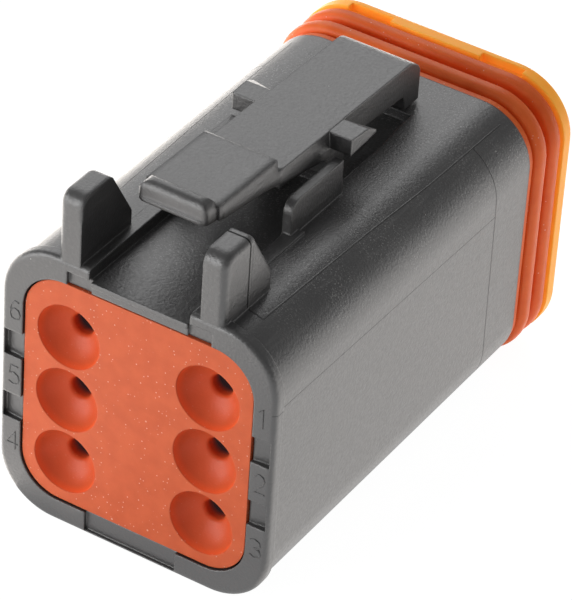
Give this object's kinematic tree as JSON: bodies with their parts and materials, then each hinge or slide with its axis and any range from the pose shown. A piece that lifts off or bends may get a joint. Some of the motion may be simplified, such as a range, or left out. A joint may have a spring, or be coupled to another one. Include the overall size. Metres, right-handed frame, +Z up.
{
  "type": "sealed automotive connector",
  "caption": "Rectangular sealed wire-to-wire plug with silicone wire grommet, ribbed front seal, orange wedge lock and rocking top latch between guard posts.",
  "frame": {"origin": "middle of the bounding box's underside", "axes": "+Y from the wire side to the mating side, +Z up to the latch, +X right as seen from the wire side"},
  "size_m": [0.021, 0.0364, 0.0268],
  "materials": {
    "black_plastic": "satin, fine moulded grain",
    "grommet_silicone": "matt orange-red silicone",
    "seal_silicone": "satin orange-red silicone",
    "orange_plastic": "satin light orange plastic"
  },
  "bodies": {
    "plug_body": {"housing": "black_plastic", "rear_grommet": "grommet_silicone", "interface_seal": "seal_silicone"},
    "latch": {"release_latch": "black_plastic"},
    "wedge": {"wedge_lock": "orange_plastic"}
  },
  "joints": [
    {"name": "latch_rock", "type": "hinge", "parent": "plug_body", "child": "latch", "pos_m": [0, -0.00003, 0.02128], "axis": [1, 0, 0], "range_deg": [0, 8], "stiffness_Nm_per_rad": 1},
    {"name": "wedge_pull", "type": "slide", "parent": "plug_body", "child": "wedge", "axis": [0, 1, 0], "range_m": [0, 0.0135]}
  ]
}
